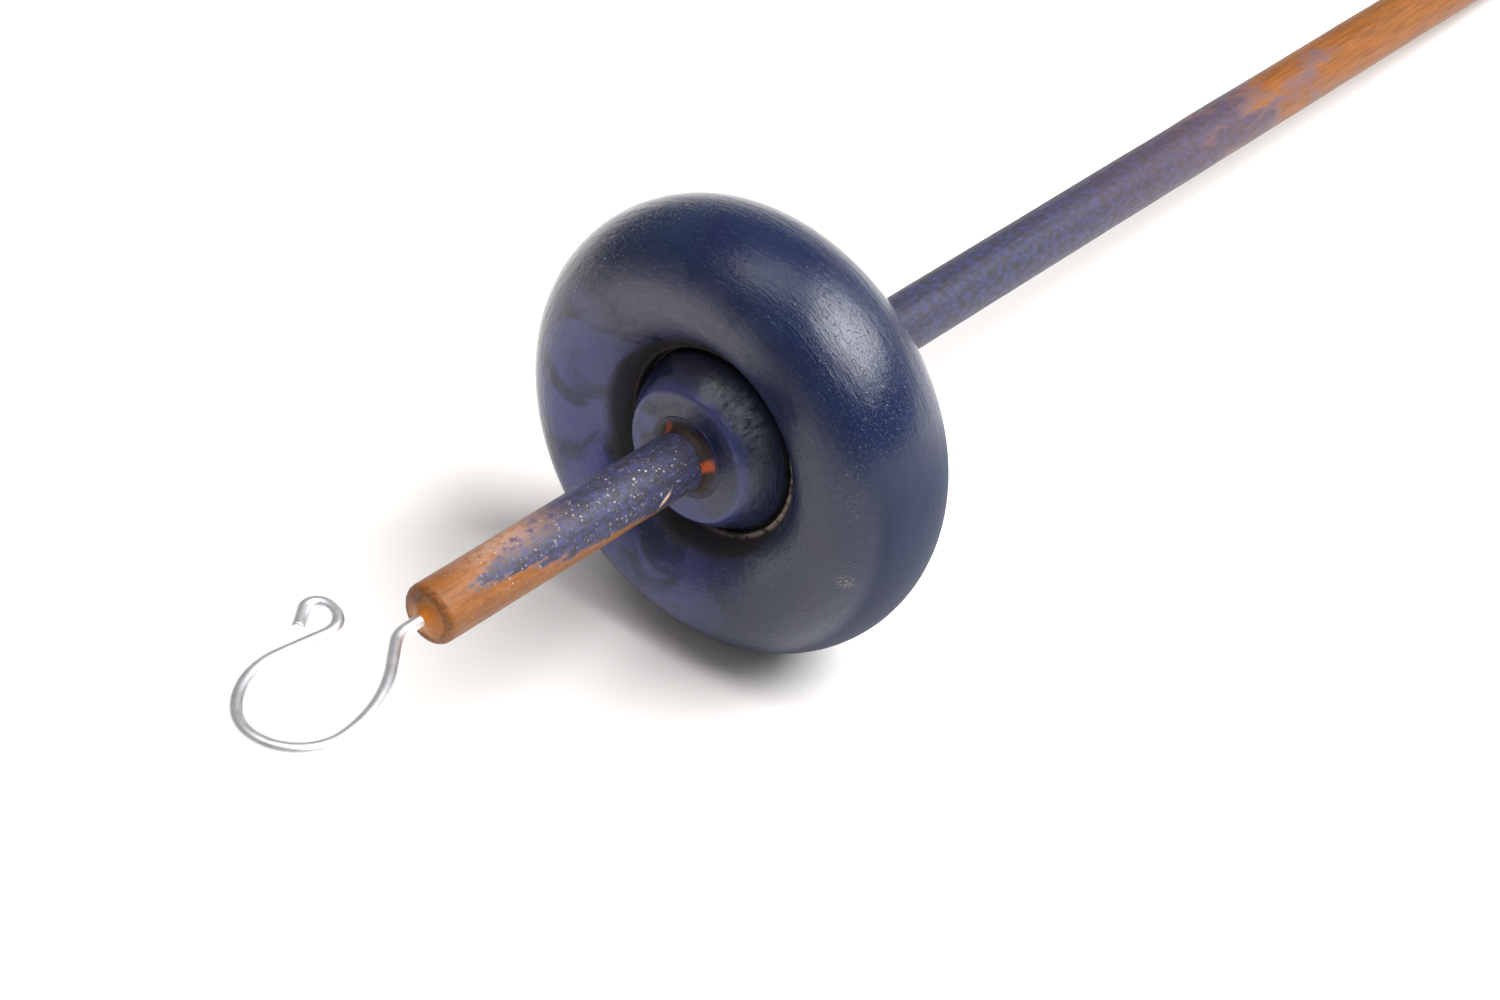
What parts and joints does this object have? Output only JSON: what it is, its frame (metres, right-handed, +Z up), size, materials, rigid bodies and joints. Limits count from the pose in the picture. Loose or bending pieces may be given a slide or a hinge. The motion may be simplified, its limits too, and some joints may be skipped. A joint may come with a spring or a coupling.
{
  "type": "drop spindle",
  "caption": "Top-whorl drop spindle: a stained wooden dowel with a navy lacquered wooden wheel glued near one end and a bent wire hook in its tip, lying on its side.",
  "frame": {"origin": "on the table, under the middle of the object's box, with the spindle lying on its side", "axes": "+Z up from the table; +X the way the tail points; the dowel lies in the XZ plane, tail down by 7.4 degrees; +Y across the wheel"},
  "size_m": [0.2362, 0.0494, 0.0492],
  "materials": {
    "stained_dowel": "violet stain worn through to amber, satin",
    "navy_lacquered_wood": "brushed navy gloss lacquer",
    "hook_wire": "satin drawn wire",
    "amber_glue": "amber resin, glossy",
    "brown_glue": "dark brown resin, semi-gloss"
  },
  "bodies": {
    "root": {"shaft": "stained_dowel", "whorl": "navy_lacquered_wood", "hook": "hook_wire", "hook_glue": "amber_glue", "whorl_glue_front": "brown_glue", "whorl_glue_back": "brown_glue"}
  },
  "joints": []
}
